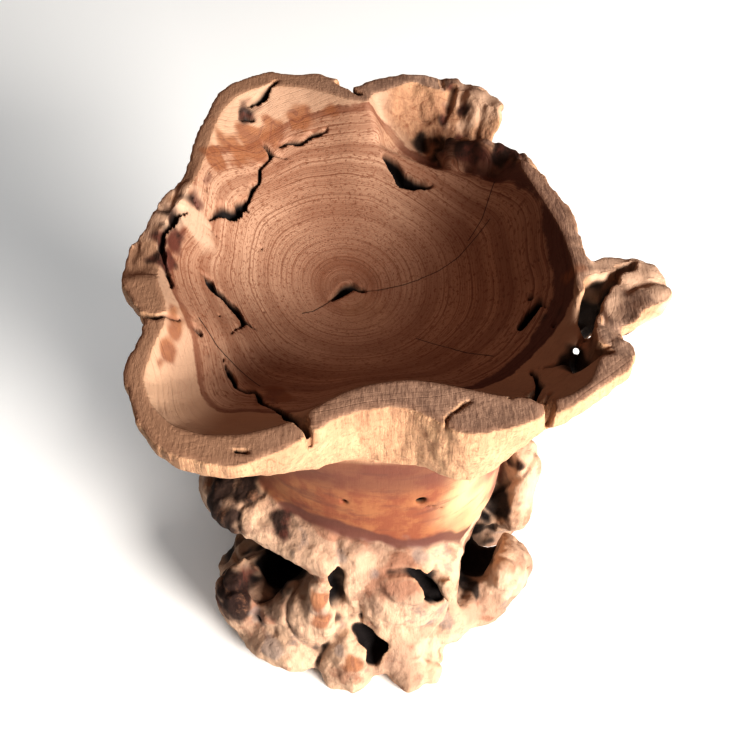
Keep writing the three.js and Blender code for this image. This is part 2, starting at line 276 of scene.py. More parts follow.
# Drying cracks in the bowl and the rim: depth, and (x, y, half width) along each.
CRACKS = [
  # the pith
  {"depth": 14, "path": [(-28, 11, 0.8), (-23, 18, 3.2), (-15, 25, 3.2), (-8, 22, 2.0), (-6, 21, 0.5)]},
  # long jagged crack in the upper left of the bowl
  {"depth": 12, "path": [(-72, 109, 0.8), (-68, 105, 1.6), (-69, 100, 1.2), (-75, 91, 1.8), (-74, 83, 1.3),
                         (-77, 74, 1.9), (-78, 65, 1.5), (-83, 56, 3.0), (-84, 50, 2.6), (-90, 44, 4.0),
                         (-98, 31, 1.0)]},
  {"depth": 8, "path": [(-83, 56, 1.6), (-78, 53, 0.8)]},
  {"depth": 5, "path": [(-101, 26, 0.5), (-94, 24, 0.7), (-90, 20, 0.4)]},
  # slot along the red band
  {"depth": 12, "path": [(-61, 111, 1.4), (-50, 114, 2.0), (-40, 117, 2.0), (-30, 118, 1.2)]},
  {"depth": 7, "path": [(-68, 105, 1.0), (-58, 104, 0.6)]},
  # groove along the left wall
  {"depth": 9, "path": [(-112, 26, 1.8), (-115, 14, 2.2), (-118, 2, 1.8), (-118, -10, 1.8),
                        (-116, -20, 1.6), (-111, -36, 1.0)]},
  # short jagged crack left of the pith
  {"depth": 12, "path": [(-100, -6, 1.0), (-95, -10, 2.6), (-89, -16, 2.0), (-84, -20, 3.0),
                         (-77, -28, 2.4), (-69, -32, 0.9)]},
  {"depth": 8, "path": [(-81, -45, 0.7), (-77, -34, 1.4), (-75, -28, 1.2)]},
  # long crack into the notch of the front left lobe
  {"depth": 10, "path": [(-84, -66, 0.7), (-78, -74, 1.4), (-74, -84, 1.2), (-69, -88, 1.8),
                         (-64, -85, 1.4), (-61, -92, 1.8), (-54, -101, 2.0), (-46, -110, 2.2),
                         (-40, -120, 1.8), (-35, -130, 1.6), (-32, -139, 1.2), (-31, -146, 0.6)]},
  {"depth": 4, "path": [(-97, -48, 0.5), (-95, -60, 0.8), (-90, -71, 0.5)]},
  # cleft below the low crest
  {"depth": 13, "path": [(5, 101, 1.8), (12, 95, 4.2), (17, 89, 4.4), (23, 86, 3.0), (32, 84, 2.2),
                         (37, 82, 1.0)]},
  # gap in the right wall
  {"depth": 14, "path": [(90, -34, 3.0), (86, -37, 3.6), (82, -44, 2.4)]},
  {"depth": 9, "path": [(90, -34, 1.6), (94, -43, 1.0)]},
  # star-shaped gap in the right lobe
  {"depth": 6, "path": [(88, -80, 0.8), (100, -83, 1.8), (112, -85, 1.2), (122, -86, 0.6)]},
  {"depth": 6, "path": [(112, -66, 1.0), (108, -74, 1.6), (104, -82, 1.6)]},
  # crevice between the front tongue and the right lobe
  {"depth": 16, "path": [(84, -80, 1.2), (84, -96, 2.2), (78, -107, 2.4), (84, -112, 2.6),
                         (84, -132, 1.8)]},
  {"depth": 10, "path": [(64, -119, 0.6), (76, -112, 1.6), (88, -107, 1.4)]},
  # cleft in the ear at the right
  {"depth": 25, "path": [(142, -24, 1.0), (134, -29, 2.2), (126, -36, 4.2), (119, -44, 5.0),
                         (115, -52, 3.0)]},
  # back lobes
  {"depth": 16, "path": [(-24, 146, 1.6), (-17, 140, 2.6), (-10, 132, 1.2)]},
  {"depth": 14, "path": [(-84, 128, 1.2), (-78, 133, 2.4), (-72, 138, 2.6), (-65, 145, 1.4)]},
  {"depth": 6, "path": [(-88, 118, 1.0), (-84, 122, 2.4), (-80, 121, 1.2)]},
  {"depth": 5, "path": [(-104, 52, 0.6), (-100, 47, 1.2)]},
  {"depth": 5, "path": [(-108, 37, 1.0), (-104, 33, 1.2)]},
  # left notch
  {"depth": 12, "path": [(-120, -64, 1.8), (-112, -64, 1.4), (-104, -58, 0.8)]},
  # front edge
  {"depth": 8, "path": [(46, -121, 0.5), (38, -128, 1.0), (34, -133, 0.9), (33, -142, 0.6)]},
  {"depth": 5, "path": [(-60, -149, 1.4), (-65, -149, 1.6)]},
  # thin checks that run out from the pith
  {"depth": 2.5, "path": [(-6, 21, 0.5), (16, 24, 0.35), (40, 29, 0.4), (66, 33, 0.3)]},
  {"depth": 2.5, "path": [(-28, 11, 0.5), (-36, 2, 0.35), (-46, -6, 0.3)]},
  {"depth": 2.5, "path": [(26, -20, 0.3), (44, -40, 0.4), (60, -60, 0.3)]},
]

# Borer holes and small knot holes seen from above: (x, y, radius, depth).
HOLES = [
  (87, -26, 2.0, 12), (97, -55, 1.6, 9), (96, -5, 0.9, 6), (-87, -35, 1.2, 7), (-67, -12, 0.9, 6),
  (-71, 34, 1.3, 8), (-96, -57, 2.4, 6), (-101, 49, 1.0, 5), (74, -14, 0.8, 5), (-52, -96, 1.0, 5),
]

# Rolls of bark that stand proud: points and radii of a chain of balls.
ROLLS = [
  # crest between the bowl and the back right lobe
  [(44, 109, 274, 6.0), (60, 95, 283, 8.0), (75, 87, 287, 9.0), (87, 76, 288, 9.0), (93, 62, 290, 6.0)],
  [(54, 106, 262, 8.0), (72, 96, 267, 11.0), (86, 82, 269, 11.0), (93, 68, 272, 9.0)],
  # inner side of the groove at the left
  [(-117, 34, 294, 4.0), (-118, 16, 294, 4.5), (-121, -2, 294, 4.5), (-119, -18, 294, 3.5)],
  # swirl on the ear
  [(124, -54, 296, 5.0), (134, -58, 296, 6.0), (138, -48, 296, 5.0)],
  # front pillar and front knob
  [(-32, -102, 112, 4.0), (-35, -108, 90, 5.0), (-37, -114, 66, 7.0), (-34, -119, 52, 6.0)],
  # horn over the front bulge
  [(47, -106, 94, 3.0), (47, -110, 82, 5.0)],
  # swelling at the foot of the front pillar, and the near side of the right lobe
  [(-70, -105, 46, 9.0), (-54, -103, 62, 10.5)],
  [(90, -84, 60, 11.0), (88, -82, 68, 9.0)],
]

# Holes, slots and pockets in the neck and the foot: points and radii of a chain of balls.
POCKETS = [
  # borer holes and a bark pocket in the neck
  [(-18, -92, 164, 3.0), (-19, -84, 162, 2.4)],
  [(29, -92, 164, 3.2), (27, -84, 162, 2.6)],
  [(32, -91, 155, 2.0), (32, -87, 155, 1.6)], [(36, -90, 154, 1.9), (35, -86, 154, 1.6)],
  [(41, -88, 149, 1.9), (40, -84, 149, 1.6)], [(60, -76, 163, 2.2), (58, -72, 163, 1.8)],
  [(11, -125, 256, 2.6), (22, -127, 257, 2.0)],
  # cavity between the left shoulder, the left lobe and the front pillar
  [(-74, -88, 66, 8.0), (-66, -78, 56, 13.0), (-56, -68, 42, 14.0)],
  [(-53, -95, 102, 6.0), (-55, -86, 88, 11.0), (-60, -74, 66, 14.0)],
  [(-84, -74, 78, 8.0), (-72, -70, 64, 12.0)],
  # gap between the left shoulder and the left lobe
  [(-122, -84, 92, 8.0), (-108, -82, 88, 9.0), (-94, -78, 82, 9.0)],
  [(-117, -62, 48, 12.0), (-117, -38, 36, 14.0), (-120, -16, 12, 14.0)],
  # slot beside the front pillar
  [(-25, -106, 104, 4.4), (-25, -105, 94, 5.8), (-25, -108, 80, 5.8), (-25, -112, 67, 5.0),
   (-24, -116, 57, 3.8)],
  # crescent over the front bulge, with its horn
  [(9, -108, 108, 3.4), (18, -107, 107, 4.2), (26, -106, 102, 4.6), (33, -108, 94, 4.6),
   (40, -112, 84, 4.0), (46, -115, 76, 3.0)],
  [(10, -103, 100, 3.4), (19, -101, 97, 4.4), (27, -100, 91, 5.0), (34, -103, 84, 5.0),
   (41, -107, 76, 3.8)],
  [(39, -105, 97, 4.2), (48, -103, 97, 2.6)],
  # cleft below the front bulge
  [(-18, -118, 54, 2.6), (-10, -118, 46, 5.5), (2, -122, 36, 7.5), (-2, -128, 28, 6.0)],
  # behind the front knob
  [(-30, -124, 42, 1.8), (-36, -124, 32, 2.4), (-39, -128, 20, 2.6), (-42, -132, 8, 2.6)],
  # crevices in the back pocket, behind the crest and up its far wall
  [(28, 122, 273, 3.0), (35, 116, 270, 4.5), (41, 111, 274, 5.0), (47, 104, 279, 4.0), (58, 98, 285, 3.0)],
  [(40, 118, 272, 4.5), (47, 109, 270, 5.0)],
  [(44, 124, 282, 3.0), (48, 134, 289, 3.4), (51, 142, 298, 3.0)],
  # small gap right through the right lobe
  [(104, -83, 296, 4.0), (105, -76, 285, 4.4), (111, -57, 264, 4.6), (119, -32, 235, 5.0)],
  # deep hollow behind the right lobe
  [(84, -40, 70, 8.0), (78, -50, 54, 13.0), (70, -62, 46, 14.0), (62, -80, 52, 8.0)],
  # dark pocket under the left shoulder's top
  [(-102, -50, 138, 6.0), (-92, -46, 130, 7.0)],
]


def chain_distance(points, chain):
    """Distance from points to a chain of balls joined by straight cones."""
    nearest = np.full(points[0].shape, 1e3, np.float32)
    links = zip(chain, chain[1:]) if len(chain) > 1 else [(chain[0], chain[0])]
    for start, end in links:
        a, b = np.array(start, np.float32), np.array(end, np.float32)
        along = b[:-1] - a[:-1]
        length = max(float(along @ along), 1e-6)
        offset = [p - a[k] for k, p in enumerate(points)]
        t = np.clip(sum(o * along[k] for k, o in enumerate(offset)) / length, 0, 1)
        gap = np.sqrt(sum((o - t * along[k]) ** 2 for k, o in enumerate(offset)))
        nearest = np.minimum(nearest, gap - (a[-1] + t * (b[-1] - a[-1])))
    return nearest


def carve_from_above(field, heights, ragged, path, depth):
    """Sinks a crack, or a hole if the path is one point, straight down from the surface."""
    plan = chain_distance([XX + ragged[0], YY + ragged[1]], path)
    near = np.nonzero(plan < 4)
    rows = slice(near[0].min(), near[0].max() + 1)
    columns = slice(near[1].min(), near[1].max() + 1)
    down = (heights[rows, columns, None] - Z) / depth
    wedge = plan[rows, columns, None] + CRACK_TAPER * np.clip(down, 0, 1)
    cut = np.maximum(wedge, (down - 1) * depth)
    field[rows, columns] = np.maximum(field[rows, columns], -cut)


def spans_round(chain, reach):
    """The part of the grid that holds a chain of balls, with room round it."""
    points = np.array(chain)
    spans = []
    for k, axis in enumerate((X, Y, Z)):
        inside = (axis > points[:, k].min() - reach) & (axis < points[:, k].max() + reach)
        index = np.nonzero(inside)[0]
        spans.append(slice(index[0], index[-1] + 1))
    return tuple(spans), np.meshgrid(X[spans[0]], Y[spans[1]], Z[spans[2]], indexing="ij")


def carve_chain(field, chain, warp):
    """Hollows out a chain of balls in the foot or the neck."""
    largest = max(radius for *_, radius in chain)
    spans, mesh = spans_round(chain, largest + 6)
    cut = chain_distance(mesh, chain) + warp[spans] * min(1.0, largest / 5)
    field[spans] = np.maximum(field[spans], -cut)


def add_roll(field, chain, warp):
    """Adds a chain of balls that melts into what it touches."""
    spans, mesh = spans_round(chain, 14)
    roll = chain_distance(mesh, chain) + warp[spans]
    old = field[spans]
    blend = np.clip(1 - np.abs(old - roll) / ROLL_BLEND, 0, 1)
    field[spans] = np.minimum(old, roll) - ROLL_BLEND / 4 * blend * blend


def folds(noise, width):
    """1 along the lines where smooth noise crosses nought, falling to 0 beside them."""
    return np.clip(1 - np.abs(noise) / width, 0, 1)


def rough_shape(field, neck):
    """Bark, folds and knobs everywhere but in the bowl and on the smooth neck."""
    upward = np.gradient(blur(field, 4.0), VOXEL, axis=2)
    inner = smoothstep(0.05, 0.35, upward) * smoothstep(BOWL_LOW, BOWL_LOW + 6, Z)
    del upward
    beyond = np.hypot(XX - PITH[0], YY - PITH[1]) - around(PITH, HEART)(XX, YY)
    back = smoothstep(-1, 5, beyond) * smoothstep(2, 14, XX) * smoothstep(56, 70, YY)
    far_right = smoothstep(112, 120, XX)
    wild = np.maximum(back, far_right)[:, :, None]
    inner = inner * (1 - wild)
    radius = np.hypot(XX - AXIS[0], YY - AXIS[1])[:, :, None]
    proud = smoothstep(1.0, 6.0, radius - neck(XX, YY)[:, :, None])
    foot = np.maximum(proud, 1 - smoothstep(NECK_LOW, NECK_LOW + 14, Z))
    foot = foot * (1 - smoothstep(140.0, 150.0, Z))
    wall = smoothstep(WALL_LOW, WALL_LOW + 10, Z) * (1 - inner)
    knobs = grid_noise((9, 9, 12), 13)
    grit = grid_noise((4.5, 4.5, 8), 20)
    field += foot * 3.0 * folds(grid_noise((18, 18, 40), 11), 0.30)
    field += foot * 1.6 * grid_noise(27, 12)
    field += foot * (0.45 * knobs + 0.25 * grit)
    field += foot * 1.0 * folds(grid_noise((8, 8, 17), 25), 0.22)
    field += wall * (0.4 * knobs + 0.2 * grit + 0.8 * grid_noise((20, 20, 44), 14))
    edge = wall * smoothstep(TOP - 40, TOP - 14, Z)
    calm = smoothstep(-30, -60, YY)[:, :, None]
    field += edge * (1 - 0.75 * calm) * 0.55 * grid_noise((12, 12, 20), 15)
    field += wild * wall * 2.4 * folds(grid_noise((9, 14, 30), 17), 0.4)
    field += inner * 0.22 * grid_noise(22, 16)
    return field, inner


def sawn_height():
    """The top is sawn level, but has worn down on the wild lobes at the right and the back."""
    ear = smoothstep(108, 124, XX) * smoothstep(-96, -80, YY)
    back = smoothstep(20, 50, XX) * smoothstep(90, 112, YY)
    left = smoothstep(-106, -118, XX) * smoothstep(-40, -25, YY) * smoothstep(75, 55, YY)
    worn = np.maximum(np.maximum(ear, 0.8 * back), 0.6 * left)
    waves = grid_noise(15, 18)[:, :, 0] + 0.6 * grid_noise(6, 19)[:, :, 0]
    creases = folds(grid_noise(11, 26)[:, :, 0], 0.45)
    return TOP - worn * np.clip(2.0 + 1.7 * waves + 3.0 * creases, 0, 8)


# ---------------------------------------------------------------- mesh

def largest_piece(points, quads):
    """Only the biggest connected piece, so that no crumb floats free."""
    label = np.arange(len(points))
    pairs = np.concatenate([quads[:, [k, (k + 1) % 4]] for k in range(4)])
    while True:
        lowest = np.minimum(label[pairs[:, 0]], label[pairs[:, 1]])
        before = label.copy()
        np.minimum.at(label, pairs[:, 0], lowest)
        np.minimum.at(label, pairs[:, 1], lowest)
        label = label[label]
        if (label == before).all():
            break
    names, sizes = np.unique(label[quads[:, 0]], return_counts=True)
    kept = quads[label[quads[:, 0]] == names[sizes.argmax()]]
    used, index = np.unique(kept, return_inverse=True)
    return points[used], index.reshape(-1, 4)


def surface(field):
    """The field's surface as points and four-sided faces that look outwards."""
    grid = vdb.FloatGrid(BAND)
    grid.transform = vdb.createLinearTransform(voxelSize=VOXEL)
    grid.copyFromArray(np.ascontiguousarray(field), ijk=tuple(int(v) for v in START))
    points, quads = grid.convertToQuads(isovalue=0.0)
    return largest_piece(points.astype(np.float64), quads.astype(np.int64))


def vertex_normals(points, quads):
    across = points[quads[:, 2]] - points[quads[:, 0]]
    other = points[quads[:, 3]] - points[quads[:, 1]]
    faces = np.cross(across, other)
    normals = np.zeros_like(points)
    for k in range(4):
        for axis in range(3):
            normals[:, axis] += np.bincount(quads[:, k], faces[:, axis], len(points))
    return normals / np.maximum(np.linalg.norm(normals, axis=1, keepdims=True), 1e-9)


def make_object(name, points, quads, values):
    mesh = bpy.data.meshes.new(name)
    mesh.vertices.add(len(points))
    mesh.vertices.foreach_set("co", (points * MM).astype(np.float32).ravel())
    mesh.loops.add(quads.size)
    mesh.loops.foreach_set("vertex_index", quads.astype(np.int32).ravel())
    mesh.polygons.add(len(quads))
    mesh.polygons.foreach_set("loop_start", np.arange(0, quads.size, 4, dtype=np.int32))
    mesh.update(calc_edges=True)
    mesh.polygons.foreach_set("use_smooth", np.ones(len(quads), bool))
    for label, numbers in values.items():
        attribute = mesh.attributes.new(label, "FLOAT", "POINT")
        attribute.data.foreach_set("value", numbers.astype(np.float32))
    mesh.validate()
    piece = bpy.data.objects.new(name, mesh)
    bpy.context.scene.collection.objects.link(piece)
    return piece


# ---------------------------------------------------------------- kinds of wood

# Thin drying checks: lines seen from above.
CHECKS = [
  [(-6, 21), (16, 24), (40, 29), (52, 33), (70, 44)],
  [(-28, 11), (-38, 1), (-44, -3)],
  [(24, -22), (44, -40), (52, -48), (66, -58)],
  [(-96, -48), (-86, -60), (-78, -66), (-62, -80)],
  [(74, 66), (66, 48), (58, 40)],
]

# Places with a colour of their own, and places of painted shade: (x, y, height, radius).
# Painted shade: near-black spots in deep hollows and crevices that lie in shade.
SHADE_SPOTS = [
  (76, -50, 44, 21), (90, -32, 66, 14), (64, -78, 50, 12), (-66, -78, 60, 24), (-50, -92, 96, 9),
  (-98, -48, 136, 11),
  (120, -40, 268, 20), (110, -62, 270, 13), (104, -81, 280, 9),
  (40, 112, 273, 8), (32, 119, 271, 6), (46, 106, 277, 5),
]
# Red-brown bark; the largest patch, on the left lobe at the end of the list, is painted shade.
RED_BARK_AND_SHADE = [
  (92, -22, 100, 11), (92, -36, 74, 9),
  (54, 98, 282, 13), (68, 88, 286, 12), (80, 76, 289, 12), (56, 130, 290, 7),
  (44, 126, 283, 6), (48, 135, 290, 6), (51, 141, 298, 6),
  (-118, 20, 292, 9), (-120, 2, 292, 9), (-118, -16, 292, 7), (-110, 36, 291, 8), (-106, 56, 292, 6),
  (-82, 122, 292, 9), (-60, -83, 130, 9), (-96, -98, 60, 22),
]
# Painted shade on the left shoulder and on the left lobe of the foot, which lie in shade.
FOOT_SHADE = [
  (-98, -95, 63, 15), (-94, -104, 57, 14), (-91, -109, 49, 9), (-84, -66, 139, 16), (-98, -62, 132, 16),
  (-96, -78, 127, 15),
]
ORANGE = [
  (-35, -113, 86, 7), (-38, -118, 68, 9), (-98, 74, 292, 13), (-90, 92, 286, 15), (-80, 108, 284, 13),
  (-66, 119, 282, 11), (-49, 125, 286, 9), (-30, 126, 292, 7),
  (-104, -64, 291, 11), (-108, -80, 292, 8), (-111, -92, 292, 5), (-102, 74, 292, 9), (-18, -136, 36, 8),
  (112, -30, 292, 7), (-54, -90, 256, 13), (-60, -104, 268, 8),
]
PALE = [
  (142, -32, 298, 26), (72, 128, 296, 20), (-118, 18, 299, 26), (92, -88, 54, 19), (106, -28, 88, 17),
  (-70, -124, 24, 10), (40, -128, 30, 14),
]
STAIN = [
  (0, -107, 104, 5), (-25, -131, 40, 5), (-71, -124, 30, 8), (38, -119, 58, 6), (26, -100, 116, 10),
  (-80, -106, 46, 7), (-54, -112, 60, 5), (78, -60, 84, 9), (-20, -102, 116, 7),
]


def patches(points, spheres, seed):
    """1 in the middle of ragged patches, 0 away from them."""
    ragged = 0.26 * point_noise(points, 9, seed) + 0.18 * point_noise(points, 4, seed + 1)
    most = np.zeros(len(points))
    for x, y, z, radius in spheres:
        away = np.linalg.norm(points - (x, y, z), axis=1) / radius
        most = np.maximum(most, smoothstep(1.15, 0.55, away + ragged))
    return most


def check_distance(flat):
    """Signed distance in plan to the nearest thin check, and far off beyond its ends."""
    nearest = np.full(len(flat), 9.0)
    for path in CHECKS:
        for k, (start, end) in enumerate(zip(path, path[1:])):
            a, b = np.array(start, float), np.array(end, float)
            along = (b - a) / np.linalg.norm(b - a)
            offset = flat - a
            t = offset @ along
            side = offset[:, 0] * along[1] - offset[:, 1] * along[0]
            inside = (t > (0 if k == 0 else -0.5)) & (t < np.linalg.norm(b - a) + 0.5)
            closer = inside & (np.abs(side) < np.abs(nearest))
            nearest[closer] = side[closer]
    return nearest


def neck_kind(points, neck):
    """How much each vertex belongs to the smooth neck, and its height above the neck's foot."""
    x, y, z = points.T
    proud = np.hypot(x - AXIS[0], y - AXIS[1]) - neck(x, y)
    share = 1 - smoothstep(1.8, 5.0, np.abs(proud))
    share *= smoothstep(NECK_LOW, NECK_LOW + 14, z) * (1 - smoothstep(NECK_HIGH - 7, NECK_HIGH, z))
    foot_edge = np.array(NECK_FOOT, float)
    turn = np.arctan2(foot_edge[:, 1] - AXIS[1], foot_edge[:, 0] - AXIS[0])
    here = np.arctan2(y - AXIS[1], x - AXIS[0])
    edge_height = np.interp(here, turn, foot_edge[:, 2], period=2 * math.pi)
    lift = z - edge_height + 2.5 * point_noise(points, 14, 33) + point_noise(points, 5, 34)
    return share * smoothstep(-4, 0, lift), lift


def ring_kind(points):
    """Each vertex's ring, and how far it lies outside the heartwood's edge."""
    x, y = points[:, 0], points[:, 1]
    radius = np.hypot(x - PITH[0], y - PITH[1])
    edge = around(PITH, HEART)(x, y)
    waver = 2.6 * point_noise(points, 46, 31) + 0.9 * point_noise(points, (15, 15, 60), 32)
    share = (radius + waver) / edge
    ring = radius + (share * HEART_RADIUS - radius) * smoothstep(0.15, 1.0, share)
    return ring, radius + waver - edge


def wood_kinds(points, normals, neck, inner, uncut, field):
    """What each vertex shows, as numbers for the material."""
    sawn = smoothstep(0.80, 0.95, normals[:, 2]) * smoothstep(TOP - 8, TOP - 4, points[:, 2])
    smooth_neck, lift = neck_kind(points, neck)
    ring, heart = ring_kind(points)
    solid = (field < 0).astype(np.float32)
    crowd = sample(blur(solid, 6.0), points)
    near = sample(blur(solid, 2.2), points)
    return {
        "sawn": sawn,
        "bowl": sample(inner, points) * (1 - sawn),
        "neck": smooth_neck,
        "lift": lift,
        # How hollow or proud the surface is nearby, read by the material for painted shade in hollows and
        # a painted highlight on ridges.
        "cavity": smoothstep(0.54, 0.80, crowd),
        "groove": smoothstep(0.54, 0.74, near),
        "ridge": smoothstep(0.46, 0.24, near),
        "sunk": -sample(uncut, points),
        "ring": ring,
        "heart": heart,
        "check": check_distance(points[:, :2]),
        "shade_spots": patches(points, SHADE_SPOTS, 51),
        "red_bark_and_shade": patches(points, RED_BARK_AND_SHADE, 53),
        "foot_shade": patches(points, FOOT_SHADE, 61),
        "orange": patches(points, ORANGE, 55),
        "stain": patches(points, STAIN, 57),
        "pale": patches(points, PALE, 59),
    }


def flatten_ends(field):
    """Cuts the field level at the underside and at the worn top."""
    return np.maximum(field, np.maximum(Z - sawn_height()[:, :, None], LOW[2] - Z))


def carve(field):
    """Sinks the pockets, the cracks and the holes."""
    warp = 1.1 * grid_noise(9, 23)
    for chain in POCKETS:
        carve_chain(field, chain, warp)
    field = flatten_ends(blur(field, 0.9))
    heights = top_heights(field)
    ragged = [0.8 * blur(grid_noise(4.5, seed)[:, :, 0], 0.8) for seed in (21, 22)]
    for crack in CRACKS:
        carve_from_above(field, heights, ragged, crack["path"], crack["depth"])
    for x, y, radius, depth in HOLES:
        carve_from_above(field, heights, ragged, [(x, y, radius)], depth)
    return field


def burl_piece():
    """The whole visible mesh, with the numbers that its material reads."""
    points, triangles = cad_triangles()
    on_neck = (points[:, 2] > NECK_SMOOTH[0]) & (points[:, 2] < NECK_SMOOTH[1])
    neck = around(AXIS, points[on_neck, :2])
    points, triangles = stretch_cap(points, triangles, TOP, CAP_STRETCH)
    points, triangles = stretch_cap(points, triangles, LOW[2], -CAP_STRETCH)
    field = blur(cad_field(points, triangles), SOFTEN)
    roll_warp = 0.7 * grid_noise(7, 24)
    for chain in ROLLS:
        add_roll(field, chain, roll_warp)
    field, inner = rough_shape(field, neck)
    uncut = flatten_ends(field)
    field = carve(uncut.copy())
    points, quads = surface(field)
    normals = vertex_normals(points, quads)
    kinds = wood_kinds(points, normals, neck, inner, uncut, field)
    rough = 1 - np.clip(kinds["sawn"] + kinds["bowl"] + kinds["neck"], 0, 1)
    fine = 0.28 * point_noise(points, (3.0, 3.0, 8.0), 41) + 0.14 * point_noise(points, 2.2, 42)
    points += normals * (fine * rough)[:, None]
    points[:, 2] = np.clip(points[:, 2], LOW[2], TOP)
    return make_object("burl_wood", points, quads, kinds)


# ---------------------------------------------------------------- material

class Shader:
    """Short ways to make and join nodes."""

    def __init__(self, name):
        self.material = bpy.data.materials.new(name)
        self.material.use_nodes = True
        self.tree = self.material.node_tree
        self.tree.nodes.clear()

    def node(self, kind, **settings):
        made = self.tree.nodes.new(kind)
        for key, value in settings.items():
            setattr(made, key, value)
        return made

    def join(self, value, socket):
        if isinstance(value, bpy.types.NodeSocket):
            self.tree.links.new(value, socket)
        else:
            socket.default_value = value

    def attribute(self, name):
        return self.node("ShaderNodeAttribute", attribute_name=name).outputs["Fac"]

    def math(self, operation, a, b=0.0, c=0.0, clamp=False):
        made = self.node("ShaderNodeMath", operation=operation, use_clamp=clamp)
        for value, socket in zip((a, b, c), made.inputs):
            self.join(value, socket)
        return made.outputs[0]

    def vector_math(self, operation, *values):
        made = self.node("ShaderNodeVectorMath", operation=operation)
        for value, socket in zip(values, made.inputs):
            self.join(value, socket)
        return made.outputs[0]

    def times(self, *values):
        total = values[0]
        for value in values[1:]:
            total = self.math("MULTIPLY", total, value)
        return total

    def span(self, value, low_edge, high_edge, low_value=0.0, high_value=1.0):
        made = self.node("ShaderNodeMapRange", interpolation_type="SMOOTHSTEP")
        if low_edge > high_edge:
            low_edge, high_edge, low_value, high_value = high_edge, low_edge, high_value, low_value
        for number, socket in zip((value, low_edge, high_edge, low_value, high_value), made.inputs):
            self.join(number, socket)
        return made.outputs[0]

    def mix(self, share, a, b):
        made = self.node("ShaderNodeMix", data_type="RGBA")
        for value, socket in zip((share, a, b), (made.inputs[0], made.inputs[6], made.inputs[7])):
            if isinstance(value, tuple):
                value = (*value, 1.0)
            self.join(value, socket)
        return made.outputs[2]

    def coats(self, colour, *coats):
        """Lays coats over a colour in turn, each one a share and its own colour."""
        for share, over in coats:
            colour = self.mix(share, colour, over)
        return colour

    def noise(self, vector, scale, detail=2.0, roughness=0.5, distortion=0.0):
        made = self.node("ShaderNodeTexNoise")
        self.join(vector, made.inputs["Vector"])
        made.inputs["Scale"].default_value = scale
        made.inputs["Detail"].default_value = detail
        made.inputs["Roughness"].default_value = roughness
        made.inputs["Distortion"].default_value = distortion
        return made.outputs["Fac"]

    def line_noise(self, value, scale, detail=1.0):
        made = self.node("ShaderNodeTexNoise", noise_dimensions="1D")
        self.join(value, made.inputs["W"])
        made.inputs["Scale"].default_value = scale
        made.inputs["Detail"].default_value = detail
        return made.outputs["Fac"]

    def stretched(self, vector, scale):
        made = self.node("ShaderNodeMapping")
        self.join(vector, made.inputs["Vector"])
        made.inputs["Scale"].default_value = scale
        return made.outputs["Vector"]


YEAR_WIDTH = 2.9  # from one growth ring to the next
ROUGH_SKIN = 0.84  # roughness of bark and sawn wood
ROUGH_CARVED = 0.58  # roughness of the bowl and the neck

CREAM = (0.51, 0.325, 0.20)
PALE_WOOD = (0.55, 0.39, 0.285)
SAPWOOD = (0.43, 0.26, 0.16)
TAN = (0.27, 0.14, 0.085)
ROOT_BROWN = (0.25, 0.155, 0.11)
HEARTWOOD = (0.52, 0.34, 0.24)
HEARTWOOD_DARK = (0.21, 0.08, 0.04)
RING_BAND = (0.11, 0.036, 0.025)
RED_LINE = (0.20, 0.08, 0.045)
NECK_RED = (0.22, 0.072, 0.036)
NECK_DARK = (0.11, 0.042, 0.032)
NECK_GOLD = (0.54, 0.36, 0.21)
NECK_TAN = (0.27, 0.125, 0.085)
SAWN = (0.19, 0.125, 0.095)
SAWN_PALE = (0.43, 0.295, 0.22)
ORANGE_WOOD = (0.29, 0.122, 0.055)
# near black: bark, and painted shade in creases and hollows
BARK_AND_SHADE = (0.028, 0.013, 0.010)
GREY_STAIN = (0.17, 0.145, 0.14)
# near black, for painted shade in hollows and for the thin checks
SHADE_BLACK = (0.007, 0.004, 0.004)


class WoodShader(Shader):
    """A shader with the patterns that the kinds of wood share."""

    def __init__(self, name):
        super().__init__(name)
        self.place = self.node("ShaderNodeTexCoord").outputs["Object"]
        apart = self.node("ShaderNodeSeparateXYZ")
        self.join(self.place, apart.inputs[0])
        self.across, self.level = apart.outputs["X"], apart.outputs["Z"]
        self.broad = self.noise(self.place, 14.0, 3.0)
        self.mottle = self.noise(self.place, 70.0, 4.0, 0.62)
        self.speckle = self.noise(self.place, 420.0, 3.0, 0.6)
        self.strokes = self.noise(self.stretched(self.place, (650.0, 130.0, 130.0)), 1.0, 3.0, 0.6)
        self.upright = self.noise(self.stretched(self.place, (420.0, 420.0, 60.0)), 1.0, 4.0, 0.6)
        self.swirl = self.math("FRACT", self.times(self.noise(self.place, 22.0, 2.0, 0.5, 1.0), 9.0))
        self.ring = self.attribute("ring")
        self.fine_rings = self.line_noise(self.ring, 2.4, 2.0)
        self.year_line = self.year_lines()
        self.dashes = self.ring_dashes()

    def year_lines(self):
        """A sharp dark line at the end of each year, of uneven strength."""
        waver = self.line_noise(self.ring, 0.06)
        years = self.math("MULTIPLY_ADD", waver, 2.2, self.math("DIVIDE", self.ring, YEAR_WIDTH))
        year = self.math("FRACT", years)
        line = self.times(self.span(year, 0.5, 0.93), self.span(year, 1.0, 0.93))
        each_year = self.line_noise(self.math("FLOOR", years), 3.7)
        line = self.times(line, self.span(each_year, 0.3, 0.68, 0.15, 1.0))
        return self.times(line, self.span(self.noise(self.place, 24.0, 2.0), 0.40, 0.58, 0.35, 1.0))

    def ring_dashes(self):
        """Short dashes along the rings: noise laid out by the heading from the pith and the ring."""
        outward = self.vector_math("SUBTRACT", self.place, (PITH[0] * MM, PITH[1] * MM, 0))
        heading = self.vector_math("NORMALIZE", self.vector_math("MULTIPLY", outward, (1, 1, 0)))
        lifted = self.node("ShaderNodeCombineXYZ")
        self.join(self.times(self.ring, 1.15), lifted.inputs["Z"])
        turned = self.vector_math("MULTIPLY_ADD", heading, (26, 26, 0), lifted.outputs[0])
        return self.span(self.noise(turned, 1.0, 1.0), 0.58, 0.68)


